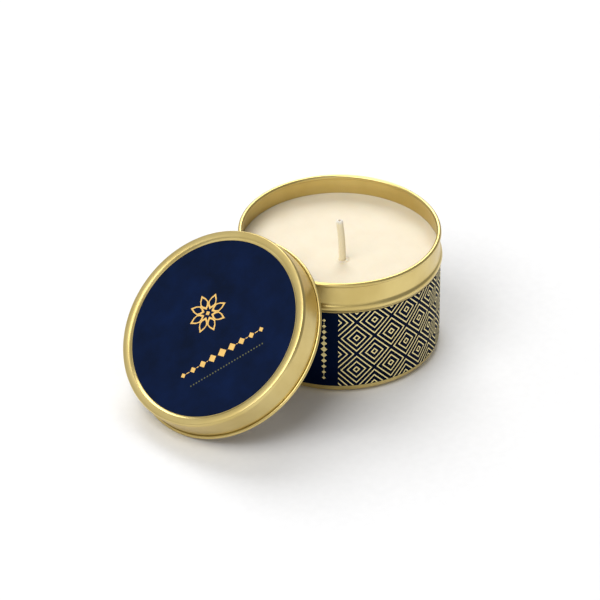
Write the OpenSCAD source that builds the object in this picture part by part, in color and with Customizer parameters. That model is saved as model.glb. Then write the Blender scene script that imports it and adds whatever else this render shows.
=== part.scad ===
// Candle tin: a round drawn tin full of wax with one wick, and its slip lid,
// taken off and leaning against the rim with its lower edge on the table.
// Millimetres, +Z up. The origin is the centre of the tin's base on the table.
// The lid leans in the XZ plane, on the -X side of the tin.

/* [Tin] */
// Diameter over the rolled rim
rim_d = 78; // [70:0.5:90]
// Height from the table to the top of the rolled rim
tin_h = 50; // [46:0.5:60]
// Thickness of the tinplate
sheet_t = 0.3; // [0.25:0.05:0.4]
// Thickness of the rolled rim, seen in section
rim_roll_d = 1.9; // [1.6:0.1:2.2]
// Radius of the corner where the wall turns into the base
base_corner_r = 3.5; // [2.5:0.25:3.5]
// Height of the sunken base panel above the table
base_rise = 0.8; // [0.5:0.1:1.2]
// How far down from the rim the middle of the stop bead is
bead_drop = 11; // [10:0.25:13]
// How far the stop bead stands out beyond the neck
bead_out = 0.95; // [0.6:0.05:1.2]

/* [Wrap label] */
// Height of the wrap label's lower edge above the table
label_low = 3.5; // [3.5:0.25:6]
// Height of the wrap label
label_h = 33.5; // [25:0.5:33.5]
// Thickness of the printed film
label_t = 0.1; // [0.08:0.01:0.15]

/* [Wax and wick] */
// How far the wax is below the top of the rim
wax_drop = 8.2; // [6:0.2:15]
// Length of the wick above the wax
wick_show = 16.5; // [5:0.5:17]
// Width of the braided wick
wick_d = 2.7; // [1.6:0.1:3]
// Width of the core thread inside the braid
wick_core_d = 0.9; // [0.6:0.1:1.2]
// Place of the wick along X
wick_x = -5.2; // [-8:0.1:8]
// Place of the wick along Y
wick_y = -6.8; // [-8:0.1:8]
// Lean of the wick at its tip
wick_lean = 14; // [1:1:20]
// Compass direction in which the free end leans
wick_lean_dir = 82; // [0:1:359]
// Diameter of the wick's metal foot
tab_d = 20; // [15:1:24]
// Height of the neck on the wick's metal foot
tab_neck_h = 6; // [3:0.5:8]

/* [Lid] */
// Depth of the lid from its top to its rolled edge
lid_h = 12.2; // [11:0.1:13]
// Gap all round between the lid and the rolled rim
lid_gap = 0.2; // [0.1:0.05:0.3]
// Thickness of the lid's rolled edge, seen in section
lid_roll_d = 1.4; // [1.2:0.1:1.6]
// How far the label panel is sunk below the lid's crown
panel_sink = 0.9; // [0.6:0.1:1.2]
// Diameter of the round lid label
lid_label_d = 71; // [60:0.2:72]
// Tilt of the leaning lid from lying flat
lid_tilt = 42; // [42:0.5:48]
// Distance from the tin's axis to the middle of the lid's rolled edge
lid_reach = 59.4; // [59.4:0.1:64]

/* [Hidden] */
$fn = 128;
// how far a cutting shape runs past what it cuts
spare = 1;
rim_r = rim_d / 2;
roll_r = rim_roll_d / 2;
roll_mid_r = rim_r - roll_r;
rim_overhang = 0.4;
neck_r = rim_r - rim_overhang;
neck_step = 0.2;
wall_r = neck_r + neck_step;
bead_z = tin_h - bead_drop;
bead_half = 1.6;
bead_arc_r = (bead_half * bead_half + bead_out * bead_out) / (2 * bead_out);
bead_mid_r = neck_r + bead_out - bead_arc_r;
foot_ring_w = 1.5;
foot_r = wall_r - base_corner_r - foot_ring_w;
floor_z = base_rise + sheet_t;
// gap between a rolled edge's end and the wall beside it
roll_gap = 0.15;

wax_top = tin_h - wax_drop;
wax_clear = 0.05;
wax_floor_r = foot_r - 2;
sticker_t = 0.5;
tab_t = 0.25;
tab_z = floor_z + sticker_t;
tab_neck_r = wick_d / 2 + sheet_t;
bend_r = wick_show * 180 / (PI * wick_lean);

lid_in_r = rim_r + lid_gap;
lid_out_r = lid_in_r + sheet_t;
lid_roll_r = lid_roll_d / 2;
lid_roll_mid_r = lid_in_r + lid_roll_r;
// the crown is a gently arched ring, with a rounded outer edge above a steep shoulder
crown_arc_r = 6;
crown_inset = 1.7;
crown_mid_r = lid_out_r - crown_inset;
crown_edge_r = 0.4;
crown_edge_inset = 0.7;
crown_edge_mid_r = lid_out_r - crown_edge_inset;
crown_turn = asin((crown_edge_mid_r - crown_mid_r) / (crown_arc_r - crown_edge_r));
crown_edge_mid_z = lid_h - crown_arc_r + (crown_arc_r - crown_edge_r) * cos(crown_turn);
shoulder_lean = 20;
lid_label_margin = 0.25;
panel_r = lid_label_d / 2 + lid_label_margin;
lid_mid_z = lid_roll_mid_r * sin(lid_tilt) + lid_roll_r;

// Places its children in the leaning lid's own frame: its origin is the middle
// of the rolled edge, and its Z axis points out through the top of the lid.
module in_lid_frame() {
    translate([-lid_reach, 0, lid_mid_z])
        rotate([0, -lid_tilt, 0])
            translate([0, 0, -lid_roll_r])
                children();
}

// Half section of a tube of sheet metal, rolled into a ring
module roll_section(mid_r, mid_z, outer_r) {
    translate([mid_r, mid_z])
        difference() {
            circle(r = outer_r);
            circle(r = outer_r - sheet_t);
        }
}

// Half section of the tin without its rolled rim, shrunk by inset on every side
module can_section(inset) {
    corner = base_corner_r - inset;
    difference() {
        union() {
            translate([0, inset])
                square([wall_r - base_corner_r, tin_h - roll_r - inset]);
            translate([0, base_corner_r])
                square([wall_r - inset, bead_z - base_corner_r]);
            translate([wall_r - base_corner_r, base_corner_r])
                circle(r = corner);
            translate([0, bead_z])
                square([neck_r - inset, tin_h - roll_r - bead_z]);
            translate([bead_mid_r, bead_z])
                circle(r = bead_arc_r - inset);
        }
        base_panel_section(inset);
    }
}

// Half section of the space under the sunken base panel
module base_panel_section(inset) {
    edge = foot_r + inset * sqrt(2);
    polygon([
        [-spare, -spare],
        [edge + spare, -spare],
        [edge - base_rise - inset, base_rise + inset],
        [-spare, base_rise + inset]
    ]);
}

// Everything on the +X side of the axis, for cutting half sections
module axis_side() {
    reach = rim_d + tin_h;
    translate([0, -reach])
        square([reach, 2 * reach]);
}

module tin_shell() {
    color("goldenrod")
        rotate_extrude()
            intersection() {
                axis_side();
                difference() {
                    union() {
                        difference() {
                            can_section(0);
                            can_section(sheet_t);
                            translate([0, floor_z + spare])
                                square([neck_r - sheet_t, tin_h]);
                        }
                        roll_section(roll_mid_r, tin_h - roll_r, roll_r);
                    }
                    translate([neck_r - sheet_t - roll_gap, tin_h - rim_roll_d - spare])
                        square([roll_gap, roll_r + spare]);
                }
            }
}

module wrap_label() {
    color("midnightblue")
        translate([0, 0, label_low])
            difference() {
                cylinder(r = wall_r + label_t, h = label_h);
                translate([0, 0, -spare])
                    cylinder(r = wall_r, h = label_h + 2 * spare);
            }
}

module wax_fill() {
    color("cornsilk")
        difference() {
            rotate_extrude()
                intersection() {
                    square([rim_r, wax_top]);
                    union() {
                        can_section(sheet_t + wax_clear);
                        translate([0, floor_z])
                            square([wax_floor_r, base_rise]);
                    }
                }
            wick_foot_space();
            wick_line(wick_d + 2 * wax_clear);
        }
}

// The space that the wick's foot and its sticker take up in the wax
module wick_foot_space() {
    translate([wick_x, wick_y, 0]) {
        cylinder(d = tab_d + 2 * wax_clear, h = tab_z + tab_t + wax_clear);
        cylinder(r = tab_neck_r + wax_clear, h = tab_z + tab_neck_h + wax_clear);
    }
}

// A round rod along the wick: upright in the wax, then bent over above it
module wick_line(rod_d) {
    translate([wick_x, wick_y, tab_z])
        cylinder(d = rod_d, h = wax_top - tab_z);
    translate([wick_x, wick_y, wax_top])
        rotate([0, 0, wick_lean_dir])
            translate([bend_r, 0, 0])
                mirror([1, 0, 0])
                    rotate([90, 0, 0])
                        rotate_extrude(angle = wick_lean)
                            translate([bend_r, 0])
                                circle(d = rod_d);
}

module wick_braid() {
    color("moccasin")
        difference() {
            wick_line(wick_d);
            wick_line(wick_core_d);
        }
}

module wick_core() {
    color("wheat")
        wick_line(wick_core_d);
}

module wick_tab() {
    color("silver")
        translate([wick_x, wick_y, tab_z])
            difference() {
                union() {
                    cylinder(d = tab_d, h = tab_t);
                    cylinder(r = tab_neck_r, h = tab_neck_h);
                }
                translate([0, 0, -spare])
                    cylinder(d = wick_d, h = tab_neck_h + 2 * spare);
            }
}

module wick_sticker() {
    color("whitesmoke")
        translate([wick_x, wick_y, floor_z])
            cylinder(d = tab_d, h = sticker_t);
}

// Half section of the lid without its rolled edge, shrunk by inset on every side
module lid_section(inset) {
    panel_z = lid_h - panel_sink - inset;
    rise_r = panel_r + inset * (sqrt(2) - 1);
    edge_r = crown_edge_r - inset;
    edge_reach = (crown_edge_inset - inset) * cos(shoulder_lean);
    shoulder_low_z = crown_edge_mid_z + (edge_r - edge_reach) / sin(shoulder_lean);
    shoulder_top_z = crown_edge_mid_z + edge_r * sin(shoulder_lean);
    difference() {
        union() {
            polygon([
                [0, 0],
                [lid_out_r - inset, 0],
                [lid_out_r - inset, shoulder_low_z],
                [crown_edge_mid_r + edge_r * cos(shoulder_lean), shoulder_top_z],
                [0, shoulder_top_z]
            ]);
            translate([crown_edge_mid_r, crown_edge_mid_z])
                circle(r = edge_r);
            intersection() {
                translate([crown_mid_r, lid_h - crown_arc_r])
                    circle(r = crown_arc_r - inset);
                square([crown_mid_r + (crown_arc_r - inset) * sin(crown_turn), lid_h]);
            }
        }
        polygon([
            [-spare, panel_z],
            [rise_r, panel_z],
            [rise_r + panel_sink, panel_z + panel_sink],
            [rise_r, lid_h + spare],
            [-spare, lid_h + spare]
        ]);
    }
}

module lid_shell() {
    color("gold")
        in_lid_frame()
            rotate_extrude()
                intersection() {
                    axis_side();
                    difference() {
                        union() {
                            difference() {
                                translate([0, lid_roll_r])
                                    square([lid_out_r, lid_h]);
                                lid_section(sheet_t);
                                lid_outside_section();
                            }
                            roll_section(lid_roll_mid_r, lid_roll_r, lid_roll_r);
                        }
                        translate([lid_out_r, lid_roll_r])
                            square([roll_gap, lid_roll_r + spare]);
                    }
                }
}

// Everything above and outside the lid's outer surface
module lid_outside_section() {
    difference() {
        translate([0, lid_h / 2])
            square([lid_out_r + lid_roll_d, lid_h]);
        lid_section(0);
    }
}

module lid_label() {
    color("navy")
        in_lid_frame()
            translate([0, 0, lid_h - panel_sink])
                cylinder(d = lid_label_d, h = label_t);
}

tin_shell();
wrap_label();
wax_fill();
wick_braid();
wick_core();
wick_tab();
wick_sticker();
lid_shell();
lid_label();
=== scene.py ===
import math
import random

import bmesh
import bpy
from mathutils import Matrix, Vector, noise


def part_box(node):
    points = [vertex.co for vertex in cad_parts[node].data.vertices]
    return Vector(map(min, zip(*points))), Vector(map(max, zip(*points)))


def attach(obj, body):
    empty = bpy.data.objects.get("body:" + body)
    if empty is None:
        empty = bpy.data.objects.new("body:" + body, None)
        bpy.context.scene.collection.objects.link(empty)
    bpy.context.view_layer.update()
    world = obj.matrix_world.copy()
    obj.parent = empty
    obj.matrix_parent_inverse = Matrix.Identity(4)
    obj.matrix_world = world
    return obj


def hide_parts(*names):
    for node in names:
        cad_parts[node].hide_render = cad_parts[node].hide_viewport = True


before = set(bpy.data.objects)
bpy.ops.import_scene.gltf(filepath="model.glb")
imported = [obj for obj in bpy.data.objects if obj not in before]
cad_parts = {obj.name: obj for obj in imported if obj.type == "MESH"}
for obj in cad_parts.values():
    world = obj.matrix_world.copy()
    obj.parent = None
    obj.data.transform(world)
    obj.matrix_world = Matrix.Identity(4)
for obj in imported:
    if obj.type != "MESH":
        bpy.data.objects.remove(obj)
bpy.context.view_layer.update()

# The look of the candle tin. Shapes are worked out in millimetres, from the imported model's
# own boxes and a few driving sizes of the tin and lid, and become metres in new_piece().
# The tin stands on the origin. The lid leans against it on the -X side.

MM = 0.001

TIN = "tin"
LID = "lid"


def box_mm(node):
    """A CAD node's lowest and highest corners at rest, in millimetres."""
    low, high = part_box(node)
    return low / MM, high / MM


# ---------------------------------------------------------------- sizes of the tin
SHEET = 0.3
FILM = 0.1
NECK_STEP = 0.2
RIM_OVERHANG = 0.4
FOOT_RING_W = 1.5
BEAD_DROP = 11.0
TIN_H = box_mm("tin_shell")[1].z
BEAD_PEAK_R = box_mm("tin_shell")[1].x
LABEL_LOW, LABEL_HIGH = box_mm("wrap_label")
LABEL_R = LABEL_HIGH.x
WALL_R = LABEL_R - FILM
NECK_R = WALL_R - NECK_STEP
RIM_R = NECK_R + RIM_OVERHANG
ROLL_R = 0.95
ROLL_MID_R = RIM_R - ROLL_R
ROLL_Z = TIN_H - ROLL_R
ROLL_GAP = 0.15
BASE_CORNER_R = 3.5
BASE_RISE = 0.8
FOOT_R = WALL_R - BASE_CORNER_R - FOOT_RING_W
BEAD_Z = TIN_H - BEAD_DROP
BEAD_HALF = 1.6
BEAD_OUT = BEAD_PEAK_R - NECK_R
BEAD_ARC_R = (BEAD_HALF ** 2 + BEAD_OUT ** 2) / (2 * BEAD_OUT)
BEAD_MID_R = BEAD_PEAK_R - BEAD_ARC_R
BEAD_FILLET_R = 1.6

# ---------------------------------------------------------------- sizes of the wax and wick
WAX_TOP = box_mm("wax_fill")[1].z
WAX_CLEAR = 0.05
WAX_R = NECK_R - SHEET - WAX_CLEAR
TAB_LOW, TAB_HIGH = box_mm("wick_tab")
WICK_FOOT = Vector(((TAB_LOW.x + TAB_HIGH.x) / 2, (TAB_LOW.y + TAB_HIGH.y) / 2, TAB_LOW.z))
WICK_SHOW = 16.5
WICK_R = 1.35
WICK_LEAN = math.radians(14)
WICK_LEAN_DIR = math.radians(82)
WICK_BEND_R = WICK_SHOW / WICK_LEAN

# ---------------------------------------------------------------- sizes of the lid
LID_GAP = 0.2
LID_IN_R = RIM_R + LID_GAP
LID_OUT_R = LID_IN_R + SHEET
LID_H = 12.2
LID_ROLL_R = 0.7
LID_ROLL_MID_R = LID_IN_R + LID_ROLL_R
CROWN_ARC_R = 6.0
CROWN_INSET = 1.7
CROWN_MID_R = LID_OUT_R - CROWN_INSET
CROWN_EDGE_R = 0.4
CROWN_EDGE_INSET = 0.7
CROWN_EDGE_MID_R = LID_OUT_R - CROWN_EDGE_INSET
CROWN_TURN = math.asin((CROWN_EDGE_MID_R - CROWN_MID_R) / (CROWN_ARC_R - CROWN_EDGE_R))
CROWN_EDGE_MID_Z = LID_H - CROWN_ARC_R + (CROWN_ARC_R - CROWN_EDGE_R) * math.cos(CROWN_TURN)
SHOULDER_LEAN = math.radians(20)
SHOULDER_SOFT = 0.5
PANEL_SINK = 0.9
LID_LABEL_R = 35.5
LID_LABEL_MARGIN = 0.25
PANEL_R = LID_LABEL_R + LID_LABEL_MARGIN
LID_TILT = math.radians(42)
LID_REACH = 59.4
LID_MID_Z = LID_ROLL_MID_R * math.sin(LID_TILT) + LID_ROLL_R

# The leaning lid's own frame: the middle of its rolled edge, with Z out through its top
LID_FRAME = (
    Matrix.Translation(Vector((-LID_REACH, 0, LID_MID_Z)) * MM)
    @ Matrix.Rotation(-LID_TILT, 4, "Y")
    @ Matrix.Translation(Vector((0, 0, -LID_ROLL_R)) * MM)
)

SEGMENTS = 256
SHARP = math.radians(40)

# Directions in a half section, in degrees from straight out
UPRIGHT = 90
INWARD = 180
FULL_TURN = 360


# ---------------------------------------------------------------- mesh helpers
def new_piece(name, verts, faces, materials, body, node, place=None):
    """Makes a piece from points in millimetres, which rides on a body in a CAD node's stead."""
    mesh = bpy.data.meshes.new(name)
    mesh.from_pydata([tuple(MM * c for c in v) for v in verts], [], faces)
    if place is not None:
        mesh.transform(place)
    shell = bmesh.new()
    shell.from_mesh(mesh)
    bmesh.ops.recalc_face_normals(shell, faces=shell.faces)
    shell.to_mesh(mesh)
    shell.free()
    for material in materials:
        mesh.materials.append(material)
    mesh.shade_smooth()
    mesh.set_sharp_from_angle(angle=SHARP)
    piece = bpy.data.objects.new(name, mesh)
    bpy.context.scene.collection.objects.link(piece)
    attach(piece, body)
    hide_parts(node)
    return piece


def join_rings(rings):
    """Faces between neighbouring rings of points; a ring of one point is a pole."""
    faces = []
    for ring, after in zip(rings, rings[1:]):
        count = max(len(ring), len(after))
        for k in range(count):
            corners = [
                ring[k % len(ring)],
                ring[(k + 1) % len(ring)],
                after[(k + 1) % len(after)],
                after[k % len(after)],
            ]
            faces.append(list(dict.fromkeys(corners)))
    return faces


def circle_points(radius, height, segments=SEGMENTS):
    """Points round the Z axis, or the one point on it where the radius is 0."""
    if radius == 0:
        return [(0, 0, height)]
    turn = 2 * math.pi / segments
    return [
        (radius * math.cos(turn * k), radius * math.sin(turn * k), height)
        for k in range(segments)
    ]


def add_ring(verts, rings, points):
    """Adds points, and a ring that holds their places in the list."""
    rings.append(list(range(len(verts), len(verts) + len(points))))
    verts.extend(points)


def lathe(profile):
    """Turns a half section that starts and ends on the Z axis into a closed mesh."""
    verts = []
    rings = []
    for radius, height in profile:
        add_ring(verts, rings, circle_points(radius, height))
    return verts, join_rings(rings)


def arc(mid_r, mid_z, radius, start, end, steps=16):
    """Points of a half section along an arc; angles in degrees from straight out."""
    points = []
    for k in range(steps + 1):
        angle = math.radians(start + (end - start) * k / steps)
        points.append((mid_r + radius * math.cos(angle), mid_z + radius * math.sin(angle)))
    return points


def corner(out_r, z, lean, radius):
    """A rounded corner at height z, where a wall that leans in by lean degrees turns upright."""
    mid_z = z - radius * math.tan(math.radians(lean) / 2)
    return arc(out_r - radius, mid_z, radius, lean, 0, steps=6)


def angle_at(mid_r, radius, r):
    """How far round an arc, in degrees from straight out, it is at distance r."""
    return math.degrees(math.acos((r - mid_r) / radius))


# ---------------------------------------------------------------- half sections
def bead_side(inset):
    """Half section of the stop bead, with a hollow fillet to the wall and to the neck."""
    bead = BEAD_ARC_R - inset
    hollow = BEAD_FILLET_R + inset
    reach = BEAD_ARC_R + BEAD_FILLET_R
    wall_turn = angle_at(BEAD_MID_R, reach, WALL_R + BEAD_FILLET_R)
    neck_turn = angle_at(BEAD_MID_R, reach, NECK_R + BEAD_FILLET_R)
    wall_z = BEAD_Z - reach * math.sin(math.radians(wall_turn))
    neck_z = BEAD_Z + reach * math.sin(math.radians(neck_turn))
    return (
        arc(WALL_R + BEAD_FILLET_R, wall_z, hollow, INWARD, INWARD - wall_turn, steps=8)
        + arc(BEAD_MID_R, BEAD_Z, bead, -wall_turn, neck_turn, steps=20)[1:]
        + arc(NECK_R + BEAD_FILLET_R, neck_z, hollow, INWARD + neck_turn, INWARD, steps=8)[1:]
    )


def tin_side(inset):
    """Half section of the tin from the middle of its base to above the bead."""
    foot = FOOT_R + inset * math.sqrt(2)
    corner_r = WALL_R - BASE_CORNER_R
    return (
        [
            (0, BASE_RISE + inset),
            (foot - BASE_RISE - inset, BASE_RISE + inset),
            (foot - inset, inset),
        ]
        + arc(corner_r, BASE_CORNER_R, BASE_CORNER_R - inset, -UPRIGHT, 0)
        + bead_side(inset)
    )


def tin_profile():
    """The tin's whole half section: inside, round the rolled rim and down the outside."""
    bore = ROLL_R - SHEET
    edge_r = NECK_R - SHEET - ROLL_GAP
    start = -angle_at(ROLL_MID_R, bore, NECK_R - SHEET)
    bore_end = FULL_TURN - angle_at(ROLL_MID_R, bore, edge_r)
    edge = FULL_TURN - angle_at(ROLL_MID_R, ROLL_R, edge_r)
    end = -angle_at(ROLL_MID_R, ROLL_R, NECK_R)
    return (
        tin_side(SHEET)
        + arc(ROLL_MID_R, ROLL_Z, bore, start, bore_end, steps=40)
        + arc(ROLL_MID_R, ROLL_Z, ROLL_R, edge, end, steps=56)
        + tin_side(0)[::-1]
    )


def lid_side(inset):
    """Half section of the lid from the middle of its panel to the top of its skirt."""
    panel_z = LID_H - PANEL_SINK - inset
    rise_r = PANEL_R + inset * (math.sqrt(2) - 1)
    crown = CROWN_ARC_R - inset
    crown_z = LID_H - CROWN_ARC_R
    # the panel's side slopes up at 45 degrees; meet_r is where it meets the crown's arc
    offset = panel_z - rise_r - crown_z
    half = (offset - CROWN_MID_R) / 2
    spread = half ** 2 - (CROWN_MID_R ** 2 + offset ** 2 - crown ** 2) / 2
    meet_r = -half + math.sqrt(spread)
    rise = angle_at(CROWN_MID_R, crown, meet_r)
    fall = UPRIGHT - math.degrees(CROWN_TURN)
    shoulder = math.degrees(SHOULDER_LEAN)
    edge_r = CROWN_EDGE_R - inset
    skirt_r = LID_OUT_R - inset
    edge_reach = (skirt_r - CROWN_EDGE_MID_R) * math.cos(SHOULDER_LEAN)
    shoulder_low_z = CROWN_EDGE_MID_Z + (edge_r - edge_reach) / math.sin(SHOULDER_LEAN)
    return (
        [(0, panel_z), (rise_r, panel_z)]
        + arc(CROWN_MID_R, crown_z, crown, rise, fall)
        + arc(CROWN_EDGE_MID_R, CROWN_EDGE_MID_Z, edge_r, fall, shoulder, steps=10)[1:]
        + corner(skirt_r, shoulder_low_z, shoulder, SHOULDER_SOFT)
    )


def lid_profile():
    """The lid's whole half section: inside, round the rolled edge and up the outside."""
    bore = LID_ROLL_R - SHEET
    edge_r = LID_OUT_R + ROLL_GAP
    edge = FULL_TURN + angle_at(LID_ROLL_MID_R, LID_ROLL_R, edge_r)
    bore_end = FULL_TURN + angle_at(LID_ROLL_MID_R, bore, edge_r)
    return (
        lid_side(SHEET)
        + arc(LID_ROLL_MID_R, LID_ROLL_R, LID_ROLL_R, INWARD, edge, steps=48)
        + arc(LID_ROLL_MID_R, LID_ROLL_R, bore, bore_end, INWARD, steps=36)
        + lid_side(0)[::-1]
    )


# ---------------------------------------------------------------- foil print
FOIL_PROUD = 0.02
FOIL_T = 0.03
NEARLY = 1e-6
# Points that agree to this many decimals of a millimetre are one point
SAME_DECIMALS = 3


def cut_polygon(points, axis, limit, keep_above):
    """The part of a convex polygon on one side of an upright or level line."""
    side = 1 if keep_above else -1
    kept = []
    for here, there in zip(points, points[1:] + points[:1]):
        a = side * (here[axis] - limit)
        b = side * (there[axis] - limit)
        if a >= 0:
            kept.append(here)
        if (a > 0 > b) or (a < 0 < b):
            t = a / (a - b)
            cut = [here[i] + t * (there[i] - here[i]) for i in range(2)]
            cut[axis] = limit
            kept.append(tuple(cut))
    return kept


def crop(shapes, low, high):
    """The parts of convex shapes inside a window."""
    kept = []
    for shape in shapes:
        for axis in range(2):
            shape = cut_polygon(shape, axis, low[axis], True)
            shape = cut_polygon(shape, axis, high[axis], False)
        if len(shape) > 2:
            kept.append(shape)
    return kept


def slice_upright(shapes, step):
    """Shapes cut along evenly spaced upright lines, so that they can follow a curve."""
    kept = []
    for shape in shapes:
        first = math.floor(min(p[0] for p in shape) / step + NEARLY)
        last = math.ceil(max(p[0] for p in shape) / step - NEARLY)
        for k in range(first, last):
            part = cut_polygon(shape, 0, k * step, True)
            part = cut_polygon(part, 0, (k + 1) * step, False)
            if len(part) > 2:
                kept.append(part)
    return kept


def foil_mesh(shapes, to_space):
    """Closed thin leaves of foil over flat shapes; to_space(x, y, depth) places a point."""
    index = {}
    faces = []
    for shape in shapes:
        corners = []
        for x, y in shape:
            key = (round(x, SAME_DECIMALS), round(y, SAME_DECIMALS))
            corners.append(index.setdefault(key, len(index)))
        corners = list(dict.fromkeys(corners))
        if len(corners) > 2:
            faces.append(corners)
    count = len(index)
    edges = {}
    for corners in faces:
        for a, b in zip(corners, corners[1:] + corners[:1]):
            edges.setdefault(frozenset((a, b)), []).append((a, b))
    walls = [
        [b, a, a + count, b + count]
        for (a, b), *others in edges.values()
        if not others
    ]
    verts = [to_space(x, y, 0) for x, y in index] + [to_space(x, y, FOIL_T) for x, y in index]
    backs = [[c + count for c in reversed(corners)] for corners in faces]
    return verts, faces + backs + walls


def lozenge(x, y, half_w, half_h):
    """Corners of a lozenge, counted round from its right-hand one."""
    return [(x + half_w, y), (x, y + half_h), (x - half_w, y), (x, y - half_h)]


def ring_of(outer, inner):
    """The band between two polygons with the same number of corners, in convex parts."""
    count = len(outer)
    return [
        [outer[k], outer[(k + 1) % count], inner[(k + 1) % count], inner[k]]
        for k in range(count)
    ]


def nested_lozenges(x, y, half_w, half_h, lines, line_w):
    """Lozenge outlines one inside the other, evenly spaced."""
    reach = half_w * half_h / math.hypot(half_w, half_h)
    half_line = line_w / 2 / reach
    shapes = []
    for k in range(lines):
        scale = (k + 0.5) / lines
        outer = lozenge(x, y, half_w * (scale + half_line), half_h * (scale + half_line))
        inner = lozenge(x, y, half_w * (scale - half_line), half_h * (scale - half_line))
        shapes.extend(ring_of(outer, inner))
    return shapes


# How far along a petal, and how wide there, as shares of its length and half width
PETAL_SIDE = [(0, 0), (0.18, 0.62), (0.42, 1), (0.7, 0.72), (1, 0)]
PETAL_POINT = 2.2
PETALS = 8
PETAL_START = 0.2
PETAL_HALF_W = 0.22
ROSETTE_HEART = 0.12


def petal(x, y, direction, start, length, half_w):
    """A slim leaf shape that points away from x, y."""
    ahead = Vector((math.cos(direction), math.sin(direction)))
    aside = Vector((-ahead.y, ahead.x)) * half_w
    root = Vector((x, y)) + ahead * start
    right = [root + ahead * length * t + aside * w for t, w in PETAL_SIDE]
    left = [root + ahead * length * t - aside * w for t, w in PETAL_SIDE[-2:0:-1]]
    return [tuple(p) for p in right + left]


def petal_outline(x, y, direction, start, length, half_w, line_w):
    """The outline of a petal, line_w wide along its sides and wider at its two points."""
    point = PETAL_POINT * line_w
    outer = petal(x, y, direction, start, length, half_w)
    inner = petal(x, y, direction, start + point, length - 2 * point, half_w - line_w)
    return ring_of(outer, inner)


def rosette(x, y, radius, line_w):
    """Petal outlines round a small lozenge."""
    shapes = [lozenge(x, y, ROSETTE_HEART * radius, ROSETTE_HEART * radius)]
    start = PETAL_START * radius
    half_w = PETAL_HALF_W * radius
    for k in range(PETALS):
        direction = math.pi / 2 + 2 * math.pi * k / PETALS
        shapes += petal_outline(x, y, direction, start, radius - start, half_w, line_w)
    return shapes


ROW_TAPER = 0.45
ROW_BAR_GAP = 0.35
ROW_BAR_HALF = 0.16


def ornament_row(x, y, half_w, size, count):
    """A row of lozenges, count each side of the largest one, tied by short bars."""
    pitch = half_w / (count + 0.5)
    halves = {k: size / 2 * (1 - ROW_TAPER * abs(k) / count) for k in range(-count, count + 1)}
    low = y - ROW_BAR_HALF
    high = y + ROW_BAR_HALF
    shapes = []
    for k, half in halves.items():
        mid = x + k * pitch
        shapes.append(lozenge(mid, y, half, half))
        if k < count:
            start = mid + half + ROW_BAR_GAP
            end = mid + pitch - halves[k + 1] - ROW_BAR_GAP
            shapes.append([(start, low), (end, low), (end, high), (start, high)])
    return shapes


def dotted_row(x, y, half_w, size, count):
    """A fine row of small lozenges."""
    return [
        lozenge(x - half_w + 2 * half_w * k / (count - 1), y, size / 2, size / 2)
        for k in range(count)
    ]


def turned(shapes, angle):
    """Shapes turned about the origin."""
    across = math.cos(angle)
    along = math.sin(angle)
    return [
        [(x * across - y * along, x * along + y * across) for x, y in shape]
        for shape in shapes
    ]


def moved(shapes, dx, dy):
    """Shapes moved along."""
    return [[(x + dx, y + dy) for x, y in shape] for shape in shapes]


# ---------------------------------------------------------------- material helpers
# Nearly all of a noise texture's values lie between these two
NOISE_LOW = 0.3
NOISE_HIGH = 0.7


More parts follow.
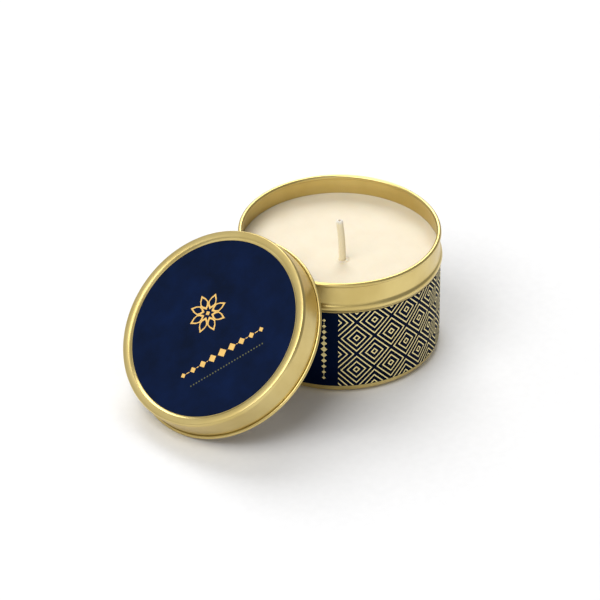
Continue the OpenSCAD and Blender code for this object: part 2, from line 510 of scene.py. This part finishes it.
class Look:
    """A new material, with short ways to add the nodes that these looks share."""

    def __init__(self, name, place=None):
        self.material = bpy.data.materials.new(name)
        self.material.use_nodes = True
        self.tree = self.material.node_tree
        self.shader = self.tree.nodes["Principled BSDF"]
        self.space = self.node("ShaderNodeTexCoord").outputs["Object"]
        if place is not None:
            back = self.node("ShaderNodeMapping", vector_type="TEXTURE")
            back.inputs["Location"].default_value = place.to_translation()
            back.inputs["Rotation"].default_value = place.to_euler()
            self.link(self.space, back.inputs["Vector"])
            self.space = back.outputs["Vector"]

    def node(self, kind, **settings):
        """A new node, with some of its settings."""
        made = self.tree.nodes.new(kind)
        for name, value in settings.items():
            setattr(made, name, value)
        return made

    def link(self, source, target):
        """Joins an output to an input."""
        self.tree.links.new(source, target)

    def fill(self, target, value):
        """Joins a socket to another one, or sets its value."""
        if isinstance(value, bpy.types.NodeSocket):
            self.link(value, target)
        else:
            target.default_value = value

    def set(self, **values):
        """Sets the shader's own sockets; the names have _ where the sockets have a space."""
        for name, value in values.items():
            self.fill(self.shader.inputs[name.replace("_", " ")], value)

    def stretched(self, x, y, z, source=None):
        """Coordinates scaled per axis, in cycles a metre."""
        mapping = self.node("ShaderNodeMapping")
        mapping.inputs["Scale"].default_value = (x, y, z)
        self.link(source or self.space, mapping.inputs["Vector"])
        return mapping.outputs["Vector"]

    def noise(self, where, scale=1.0, detail=2.0, rough=0.5):
        """A noise value at these coordinates; scale is in cycles to each of their units."""
        made = self.node("ShaderNodeTexNoise")
        self.link(where, made.inputs["Vector"])
        made.inputs["Scale"].default_value = scale
        made.inputs["Detail"].default_value = detail
        made.inputs["Roughness"].default_value = rough
        return made.outputs["Fac"]

    def math(self, operation, a, b=0.0):
        """One step of arithmetic on numbers or sockets."""
        made = self.node("ShaderNodeMath", operation=operation)
        for socket, value in zip(made.inputs, (a, b)):
            self.fill(socket, value)
        return made.outputs["Value"]

    def length(self, a, b):
        """The length of the vector a, b."""
        squares = [self.math("MULTIPLY", part, part) for part in (a, b)]
        return self.math("SQRT", self.math("ADD", *squares))

    def spread(self, value, low, high, to_low=0.0, to_high=1.0):
        """Maps low..high to to_low..to_high, clamped."""
        made = self.node("ShaderNodeMapRange")
        made.inputs["From Min"].default_value = low
        made.inputs["From Max"].default_value = high
        made.inputs["To Min"].default_value = to_low
        made.inputs["To Max"].default_value = to_high
        self.link(value, made.inputs["Value"])
        return made.outputs["Result"]

    def vary(self, value, to_low, to_high):
        """A number that varies with a noise value."""
        return self.spread(value, NOISE_LOW, NOISE_HIGH, to_low, to_high)

    def mix(self, factor, a, b):
        """Colour a where factor is 0, and b where it is 1."""
        made = self.node("ShaderNodeMix", data_type="RGBA")
        colours = [socket for socket in made.inputs if socket.type == "RGBA"]
        self.fill(made.inputs["Factor"], factor)
        self.fill(colours[0], a)
        self.fill(colours[1], b)
        return next(socket for socket in made.outputs if socket.type == "RGBA")

    def mottle(self, value, a, b, low=NOISE_LOW, high=NOISE_HIGH):
        """Two colours, (red, green, blue), mixed by a noise value."""
        return self.mix(self.spread(value, low, high), (*a, 1), (*b, 1))

    def bump(self, height, distance):
        """Raises the surface by height times distance, in metres."""
        made = self.node("ShaderNodeBump")
        made.inputs["Strength"].default_value = 1.0
        made.inputs["Distance"].default_value = distance
        self.link(height, made.inputs["Height"])
        self.link(made.outputs["Normal"], self.shader.inputs["Normal"])

    def round_axis(self):
        """Cylinder coordinates about the object's Z axis: metres round, distance out, height."""
        parts = self.node("ShaderNodeSeparateXYZ")
        self.link(self.space, parts.inputs["Vector"])
        x, y, z = parts.outputs
        angle = self.math("ARCTAN2", y, x)
        return self.math("MULTIPLY", angle, WALL_R * MM), self.length(x, y), z

    def joined(self, x, y, z):
        """Three numbers or sockets as one vector."""
        made = self.node("ShaderNodeCombineXYZ")
        for socket, value in zip(made.inputs, (x, y, z)):
            self.fill(socket, value)
        return made.outputs["Vector"]


# ---------------------------------------------------------------- materials
# Colour of the lacquered metal, and how it changes where the lacquer runs thin or thick
TIN_TINT = (0.67, 0.53, 0.205)
LID_TINT = (0.69, 0.55, 0.225)
# The two inside tints are darker and more saturated than the outside ones. Part of that is the
# inside lacquer's own colour. Part is painted shade, which stands in for the deeper gold the
# inside walls take from reflecting each other and the wax.
TIN_INSIDE_SHADED_TINT = (0.57, 0.41, 0.065)
LID_INSIDE_SHADED_TINT = (0.55, 0.395, 0.10)
LACQUER_THIN = 1.06
LACQUER_THICK = (0.93, 0.9, 0.8)


def gold_lacquer(name, tint, place=None):
    """Clear gold lacquer over drawn tinplate: satin, with fine draw lines and faint clouds."""
    look = Look(name, place)
    around, out, height = look.round_axis()
    lines = look.noise(look.stretched(2600, 160, 160, look.joined(around, out, height)), detail=3)
    grain = look.noise(look.stretched(420, 4200, 420), detail=3, rough=0.6)
    clouds = look.noise(look.stretched(55, 55, 55), detail=3)
    light = [c * LACQUER_THIN for c in tint]
    deep = [c * share for c, share in zip(tint, LACQUER_THICK)]
    look.set(
        Base_Color=look.mottle(clouds, light, deep, low=0.35, high=0.65),
        Metallic=1.0,
        Roughness=look.spread(look.math("ADD", clouds, grain), 0.7, 1.3, 0.28, 0.38),
        Coat_Weight=0.2,
        Coat_Roughness=0.07,
    )
    look.bump(look.math("ADD", look.math("MULTIPLY", lines, 0.6), grain), 0.0004 * MM)
    return look.material


def printed_film(name, dark, light, cloud_size, rough, shine, place=None):
    """Dark printed film with cloudy ink and a faint paper grain."""
    look = Look(name, place)
    clouds = look.noise(look.space, scale=1 / cloud_size, detail=4, rough=0.6)
    fibre = look.noise(look.space, scale=2600)
    ink = look.math("ADD", look.math("MULTIPLY", fibre, 0.3), clouds)
    look.set(
        Base_Color=look.mottle(ink, dark, light, low=0.45, high=0.9),
        Roughness=look.vary(fibre, rough - 0.05, rough + 0.06),
        Specular_IOR_Level=shine,
    )
    look.bump(fibre, 0.004 * MM)
    return look.material


def foil(name, colour, worn):
    """Matt gold print, a little uneven like hot-stamped foil."""
    look = Look(name)
    patches = look.noise(look.space, scale=900, detail=3)
    look.set(
        Base_Color=look.mottle(patches, colour, worn, low=0.35),
        Metallic=0.25,
        Roughness=look.vary(patches, 0.38, 0.52),
    )
    look.bump(patches, 0.005 * MM)
    return look.material


def poured_wax():
    """Cream wax: soft light through it, and a faintly rippled, slightly glossy skin."""
    look = Look("poured_wax")
    cream = (0.76, 0.67, 0.50)
    pale_cream = (0.785, 0.70, 0.53)
    ripples = look.noise(look.space, scale=120, detail=3)
    skin = look.noise(look.space, scale=900, detail=3)
    look.set(
        Base_Color=look.mottle(ripples, cream, pale_cream, low=0.35, high=0.65),
        Roughness=look.vary(skin, 0.42, 0.55),
        Subsurface_Weight=0.35,
        Subsurface_Radius=(1.0, 0.75, 0.45),
        Subsurface_Scale=4 * MM,
    )
    look.bump(look.math("ADD", look.math("MULTIPLY", ripples, 4.0), skin), 0.012 * MM)
    return look.material


def waxed_cotton():
    """Cream cotton yarn, primed with wax, with fine fibres and a whiter cut end."""
    look = Look("waxed_cotton")
    cut_end = (0.98, 0.95, 0.88, 1)
    fibres = look.noise(look.stretched(5200, 5200, 900), detail=3)
    yarn = look.mottle(fibres, (0.95, 0.84, 0.58), (0.98, 0.90, 0.68))
    parts = look.node("ShaderNodeSeparateXYZ")
    look.link(look.space, parts.inputs["Vector"])
    top = box_mm("wick_braid")[1].z
    near_end = look.spread(parts.outputs["Z"], (top - 1.6) * MM, (top - 0.4) * MM)
    look.set(
        Base_Color=look.mix(near_end, yarn, cut_end),
        Roughness=look.vary(fibres, 0.55, 0.75),
    )
    look.bump(fibres, 0.04 * MM)
    return look.material


def paper_core():
    """The wick's core thread: tightly rolled tan paper."""
    look = Look("paper_core")
    fibres = look.noise(look.stretched(4000, 4000, 700), detail=3)
    look.set(
        Base_Color=look.mottle(fibres, (0.30, 0.22, 0.13), (0.45, 0.35, 0.22)),
        Roughness=look.vary(fibres, 0.75, 0.9),
    )
    look.bump(fibres, 0.03 * MM)
    return look.material


def bare_tinplate():
    """Bare tinplate with a straight rolled grain."""
    look = Look("bare_tinplate")
    grain = look.noise(look.stretched(300, 5000, 300), detail=3, rough=0.6)
    look.set(
        Base_Color=look.mottle(grain, (0.62, 0.62, 0.60), (0.74, 0.73, 0.70)),
        Metallic=1.0,
        Roughness=look.vary(grain, 0.22, 0.36),
    )
    look.bump(grain, 0.005 * MM)
    return look.material


def sticker_paper():
    """Off-white foam and paper of the pad under the wick's foot."""
    look = Look("sticker_paper")
    pores = look.noise(look.space, scale=3500, detail=3)
    look.set(
        Base_Color=look.mottle(pores, (0.72, 0.71, 0.67), (0.84, 0.83, 0.80)),
        Roughness=look.vary(pores, 0.8, 0.95),
    )
    look.bump(pores, 0.03 * MM)
    return look.material


# ---------------------------------------------------------------- the pieces
def mark_inside(piece, steps):
    """Gives the second material to the faces of a lathe's first steps."""
    for face in piece.data.polygons[: steps * SEGMENTS]:
        face.material_index = 1


def make_tin():
    """The drawn tin with its foot ring, bead and rolled rim."""
    verts, faces = lathe(tin_profile())
    lacquers = [
        gold_lacquer("tin_gold_lacquer", TIN_TINT),
        # The inside copy of the gold, darker and more saturated, is partly painted shade.
        gold_lacquer("tin_inner_lacquer_painted_shade", TIN_INSIDE_SHADED_TINT),
    ]
    tin = new_piece("tin_body", verts, faces, lacquers, TIN, "tin_shell")
    mark_inside(tin, len(tin_side(SHEET)) - 1)


def make_lid():
    """The drawn slip lid with its crown, shoulder, skirt and rolled edge."""
    verts, faces = lathe(lid_profile())
    lacquers = [
        gold_lacquer("lid_gold_lacquer", LID_TINT, LID_FRAME),
        # The inside copy of the gold, darker and more saturated, is partly painted shade.
        gold_lacquer("lid_inner_lacquer_painted_shade", LID_INSIDE_SHADED_TINT, LID_FRAME),
    ]
    lid = new_piece(
        "lid_body", verts, faces, lacquers, LID, "lid_shell", LID_FRAME
    )
    mark_inside(lid, len(lid_side(SHEET)))


# The pattern leaves a quarter of the label plain, round the -X side where the lid leans
PATTERN_START = math.radians(-135)
PATTERN_TURN = math.radians(270)
PATTERN_REPEATS = 13
PATTERN_H = 14.5
PATTERN_LINES = 3
PATTERN_LINE_W = 0.46
PATTERN_MARGIN = 0.15
COLUMN_ANGLE = math.radians(143)


def on_wall(x, y, depth):
    """A point on the wrap label: x is how far round from the +X side, and y is the height."""
    angle = x / LABEL_R
    radius = LABEL_R - depth
    return radius * math.cos(angle), radius * math.sin(angle), y


def wrap_pattern():
    """Half-drop repeat of nested lozenges, over three quarters of the way round."""
    low = (PATTERN_START * LABEL_R, LABEL_LOW.z + PATTERN_MARGIN)
    high = (low[0] + PATTERN_TURN * LABEL_R, LABEL_HIGH.z - PATTERN_MARGIN)
    half_w = PATTERN_TURN * LABEL_R / PATTERN_REPEATS / 2
    half_h = PATTERN_H / 2
    rows = math.ceil((high[1] - low[1]) / half_h) + 2
    shapes = []
    for row in range(rows):
        for column in range(PATTERN_REPEATS + 1):
            x = low[0] + (2 * column + row % 2) * half_w
            y = low[1] + row * half_h
            shapes += nested_lozenges(x, y, half_w, half_h, PATTERN_LINES, PATTERN_LINE_W)
    return crop(shapes, low, high)


def wrap_columns():
    """An upright row of small lozenges along each side of the plain panel, and its rosette."""
    middle = (LABEL_LOW.z + LABEL_HIGH.z) / 2
    shapes = []
    column = turned(ornament_row(0, 0, half_w=14.5, size=2.6, count=5), math.pi / 2)
    for side in (-1, 1):
        shapes += moved(column, side * COLUMN_ANGLE * LABEL_R, middle)
    shapes += rosette(math.pi * LABEL_R, middle, radius=9, line_w=0.45)
    return shapes


def make_wrap_label():
    """The printed film round the tin, and the gold foil on it."""
    outer = LABEL_R - FOIL_PROUD
    low = LABEL_LOW.z
    high = LABEL_HIGH.z
    verts = []
    rings = []
    for radius, height in ((WALL_R, low), (outer, low), (outer, high), (WALL_R, high)):
        add_ring(verts, rings, circle_points(radius, height))
    faces = join_rings(rings + rings[:1])
    film = printed_film(
        "wrap_film",
        dark=(0.0004, 0.0032, 0.014),
        light=(0.0008, 0.006, 0.027),
        cloud_size=20 * MM,
        rough=0.45,
        shine=0.02,
    )
    new_piece("wrap_film", verts, faces, [film], TIN, "wrap_label")

    step = 2 * math.pi * LABEL_R / SEGMENTS
    gold = foil("wrap_foil_gold", colour=(0.96, 0.82, 0.38), worn=(0.88, 0.73, 0.33))
    verts, faces = foil_mesh(slice_upright(wrap_pattern() + wrap_columns(), step), on_wall)
    new_piece("wrap_foil", verts, faces, [gold], TIN, "wrap_label")


LID_PRINT_TOP = LID_H - PANEL_SINK + FILM
LID_PRINT_TURN = math.radians(-32.6)
LID_ROSETTE_Y = 7.0
LID_ROW_Y = -11.6
LID_DOTS_Y = -17.4


def on_lid(x, y, depth):
    """A point on the lid label."""
    return x, y, LID_PRINT_TOP - depth


def make_lid_label():
    """The round printed label on the lid, and its gold foil."""
    top = LID_PRINT_TOP - FOIL_PROUD
    under = LID_H - PANEL_SINK
    soft = 0.02
    profile = [
        (0, under),
        (LID_LABEL_R, under),
        (LID_LABEL_R, top - soft),
        (LID_LABEL_R - soft, top),
        (0, top),
    ]
    verts, faces = lathe(profile)
    film = printed_film(
        "lid_film",
        dark=(0.0016, 0.006, 0.023),
        light=(0.0024, 0.0105, 0.049),
        cloud_size=12 * MM,
        rough=0.6,
        shine=0.05,
        place=LID_FRAME,
    )
    new_piece("lid_film", verts, faces, [film], LID, "lid_label", LID_FRAME)

    bright = foil("lid_foil_gold", colour=(0.92, 0.58, 0.16), worn=(0.80, 0.50, 0.14))
    shapes = rosette(0, LID_ROSETTE_Y, radius=8.2, line_w=0.5)
    shapes += ornament_row(0, LID_ROW_Y, half_w=20.0, size=3.9, count=4)
    verts, faces = foil_mesh(turned(shapes, LID_PRINT_TURN), on_lid)
    new_piece("lid_foil", verts, faces, [bright], LID, "lid_label", LID_FRAME)

    dim = foil("lid_foil_dim", colour=(0.13, 0.13, 0.045), worn=(0.09, 0.10, 0.045))
    shapes = dotted_row(0, LID_DOTS_Y, half_w=16.3, size=0.75, count=27)
    verts, faces = foil_mesh(turned(shapes, LID_PRINT_TURN), on_lid)
    new_piece("lid_foil_fine", verts, faces, [dim], LID, "lid_label", LID_FRAME)


WAX_SEGMENTS = 192
WAX_DIP = 0.48
WAX_SWELL = 0.05
WAX_SWELL_PITCH = 11.0
WALL_RISE = 0.28
WALL_RISE_W = 0.7
COLLAR_RISE = 0.42
COLLAR_R = 1.9
COLLAR_W = 0.6


def wax_height(x, y):
    """Height of the wax surface: nearly flat, with a rise at the wall and a collar at the wick."""
    from_wall = WAX_R - math.hypot(x, y)
    from_wick = math.hypot(x - WICK_FOOT.x, y - WICK_FOOT.y)
    swell = WAX_SWELL * noise.noise(Vector((x, y, 0)) / WAX_SWELL_PITCH)
    rise = WALL_RISE * math.exp(-from_wall / WALL_RISE_W)
    collar = COLLAR_RISE * math.exp(-(((from_wick - COLLAR_R) / COLLAR_W) ** 2))
    return min(WAX_TOP, WAX_TOP - WAX_DIP + swell + rise + collar)


def widening(start, step, growth):
    """Shares from start up to a half, each step longer than the last."""
    shares = []
    while start < 0.5:
        shares.append(start)
        start += step
        step *= growth
    return shares


def make_wax():
    """The poured wax, moulded to the inside of the tin, with its rings closer at both ends."""
    shares = widening(0.03, step=0.005, growth=1.2)
    shares += [1 - share for share in widening(0, step=0.004, growth=1.25)[::-1]]
    verts = []
    rings = []
    add_ring(verts, rings, [(WICK_FOOT.x, WICK_FOOT.y, wax_height(WICK_FOOT.x, WICK_FOOT.y))])
    for share in shares:
        points = []
        for edge_x, edge_y, _ in circle_points(WAX_R, 0, WAX_SEGMENTS):
            x = WICK_FOOT.x + share * (edge_x - WICK_FOOT.x)
            y = WICK_FOOT.y + share * (edge_y - WICK_FOOT.y)
            points.append((x, y, wax_height(x, y)))
        add_ring(verts, rings, points)
    for radius, height in tin_side(SHEET + WAX_CLEAR)[::-1]:
        add_ring(verts, rings, circle_points(radius, height, WAX_SEGMENTS))
    new_piece("wax", verts, join_rings(rings), [poured_wax()], TIN, "wax_fill")


def wick_frame(distance):
    """Centre and two sideways directions, at a distance up the wick."""
    straight = WAX_TOP - WICK_FOOT.z
    lean = max(0.0, distance - straight) / WICK_BEND_R
    ahead = Vector((math.cos(WICK_LEAN_DIR), math.sin(WICK_LEAN_DIR), 0))
    centre = WICK_FOOT + Vector((0, 0, min(distance, straight)))
    centre += ahead * WICK_BEND_R * (1 - math.cos(lean))
    centre += Vector((0, 0, WICK_BEND_R * math.sin(lean)))
    way = ahead * math.sin(lean) + Vector((0, 0, math.cos(lean)))
    side = ahead * math.cos(lean) - Vector((0, 0, math.sin(lean)))
    return centre, side, way.cross(side)


YARNS = 6
YARN_TURN = 7.5
YARN_HALF_W = 0.4
YARN_HALF_T = 0.27
YARN_WEAVE = 0.08
YARN_MID_R = WICK_R - YARN_HALF_T - YARN_WEAVE / 2
YARN_SIDES = 8
YARN_STEP = 0.22
YARN_END_SPREAD = 0.25


def yarn_point(distance, start, hand):
    """Centre of one yarn, and the direction out from the wick through it."""
    centre, side, across = wick_frame(distance)
    angle = start + hand * 2 * math.pi * distance / YARN_TURN
    out = side * math.cos(angle) + across * math.sin(angle)
    over = hand * math.cos(YARNS * 2 * math.pi * distance / YARN_TURN)
    return centre + out * (YARN_MID_R + YARN_WEAVE * over), out


def add_yarn(verts, faces, start, hand, length):
    """One yarn of the braid, as a closed flattened tube."""
    count = math.ceil(length / YARN_STEP)
    nudge = 0.01
    rings = []
    for k in range(count + 1):
        distance = length * k / count
        centre, out = yarn_point(distance, start, hand)
        after, _ = yarn_point(distance + nudge, start, hand)
        across = (after - centre).cross(out).normalized()
        points = []
        for j in range(YARN_SIDES):
            turn = 2 * math.pi * j / YARN_SIDES
            offset = out * YARN_HALF_T * math.cos(turn) + across * YARN_HALF_W * math.sin(turn)
            points.append(tuple(centre + offset))
        add_ring(verts, rings, points)
    faces.extend(join_rings(rings))
    faces.append(rings[0][::-1])
    faces.append(rings[-1])


def make_wick():
    """The braided wick: six yarns each way, over and under each other, round the core."""
    verts = []
    faces = []
    draw = random.Random(5)
    length = WAX_TOP - WICK_FOOT.z + WICK_SHOW
    for hand in (-1, 1):
        for k in range(YARNS):
            start = 2 * math.pi * k / YARNS
            add_yarn(verts, faces, start, hand, length - draw.uniform(0, YARN_END_SPREAD))
    new_piece("wick_yarns", verts, faces, [waxed_cotton()], TIN, "wick_braid")


def dress_cad_node(node, material):
    """Gives a CAD node that stays as it is its own material."""
    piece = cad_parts[node]
    piece.data.materials.clear()
    piece.data.materials.append(material)


# ---------------------------------------------------------------- studio, in metres
CAMERA_AZIMUTH = math.radians(-43.98)
CAMERA_ELEVATION = math.radians(34.0)
CAMERA_DISTANCE = 1.8482
CAMERA_LENS = 289.7
CAMERA_AIM = Vector((-0.02183, -0.00075, 0.02746))


def back_from(azimuth, elevation):
    """The direction from the object to an onlooker."""
    return Vector((
        math.sin(azimuth) * math.cos(elevation),
        -math.cos(azimuth) * math.cos(elevation),
        math.sin(elevation),
    ))


def make_camera():
    """A long lens from the front left, looking down on the tin."""
    back = back_from(CAMERA_AZIMUTH, CAMERA_ELEVATION)
    camera = bpy.data.objects.new("camera", bpy.data.cameras.new("camera"))
    camera.data.lens = CAMERA_LENS
    camera.data.clip_start = 0.05
    camera.data.clip_end = 50
    camera.location = CAMERA_AIM + back * CAMERA_DISTANCE
    camera.rotation_mode = "QUATERNION"
    camera.rotation_quaternion = (-back).to_track_quat("-Z", "Y")
    bpy.context.scene.collection.objects.link(camera)
    bpy.context.scene.camera = camera


def make_floor():
    """A wide plain pale sheet."""
    half = 6.0
    corners = [(-half, -half, 0), (half, -half, 0), (half, half, 0), (-half, half, 0)]
    mesh = bpy.data.meshes.new("floor")
    mesh.from_pydata(corners, [], [(0, 1, 2, 3)])
    floor = bpy.data.objects.new("floor", mesh)
    bpy.context.scene.collection.objects.link(floor)
    look = Look("floor_paper")
    grain = look.noise(look.space, scale=300)
    look.set(
        Base_Color=look.mottle(grain, (0.86, 0.86, 0.865), (0.88, 0.88, 0.885)),
        Roughness=0.9,
        Specular_IOR_Level=0.1,
    )
    mesh.materials.append(look.material)


def make_softbox(name, azimuth, elevation, distance, size, watts):
    """A square soft box that faces the object, with its place in degrees round and up."""
    away = back_from(math.radians(azimuth), math.radians(elevation))
    data = bpy.data.lights.new(name, "AREA")
    data.shape = "SQUARE"
    data.size = size
    data.energy = watts
    light = bpy.data.objects.new(name, data)
    light.location = away * distance
    light.rotation_mode = "QUATERNION"
    light.rotation_quaternion = (-away).to_track_quat("-Z", "Y")
    bpy.context.scene.collection.objects.link(light)


def make_world():
    """Even white light from all round."""
    world = bpy.data.worlds.new("studio")
    world.use_nodes = True
    sky = world.node_tree.nodes["Background"]
    sky.inputs["Color"].default_value = (1, 1, 1, 1)
    sky.inputs["Strength"].default_value = 0.32
    bpy.context.scene.world = world


make_camera()
make_tin()
make_lid()
make_wrap_label()
make_lid_label()
make_wax()
make_wick()
dress_cad_node("wick_core", paper_core())
dress_cad_node("wick_tab", bare_tinplate())
dress_cad_node("wick_sticker", sticker_paper())

make_floor()
make_world()
make_softbox("softbox_back", azimuth=140, elevation=48, distance=2.6, size=1.8, watts=42)
make_softbox("softbox_left", azimuth=272, elevation=56, distance=2.6, size=1.8, watts=39)
make_softbox("softbox_far", azimuth=216, elevation=36, distance=2.6, size=2.4, watts=5.5)
make_softbox("softbox_front", azimuth=-25, elevation=12, distance=3.0, size=2.4, watts=10)

# Colours as they are lit, with no film curve over them
bpy.context.scene.view_settings.view_transform = "Standard"
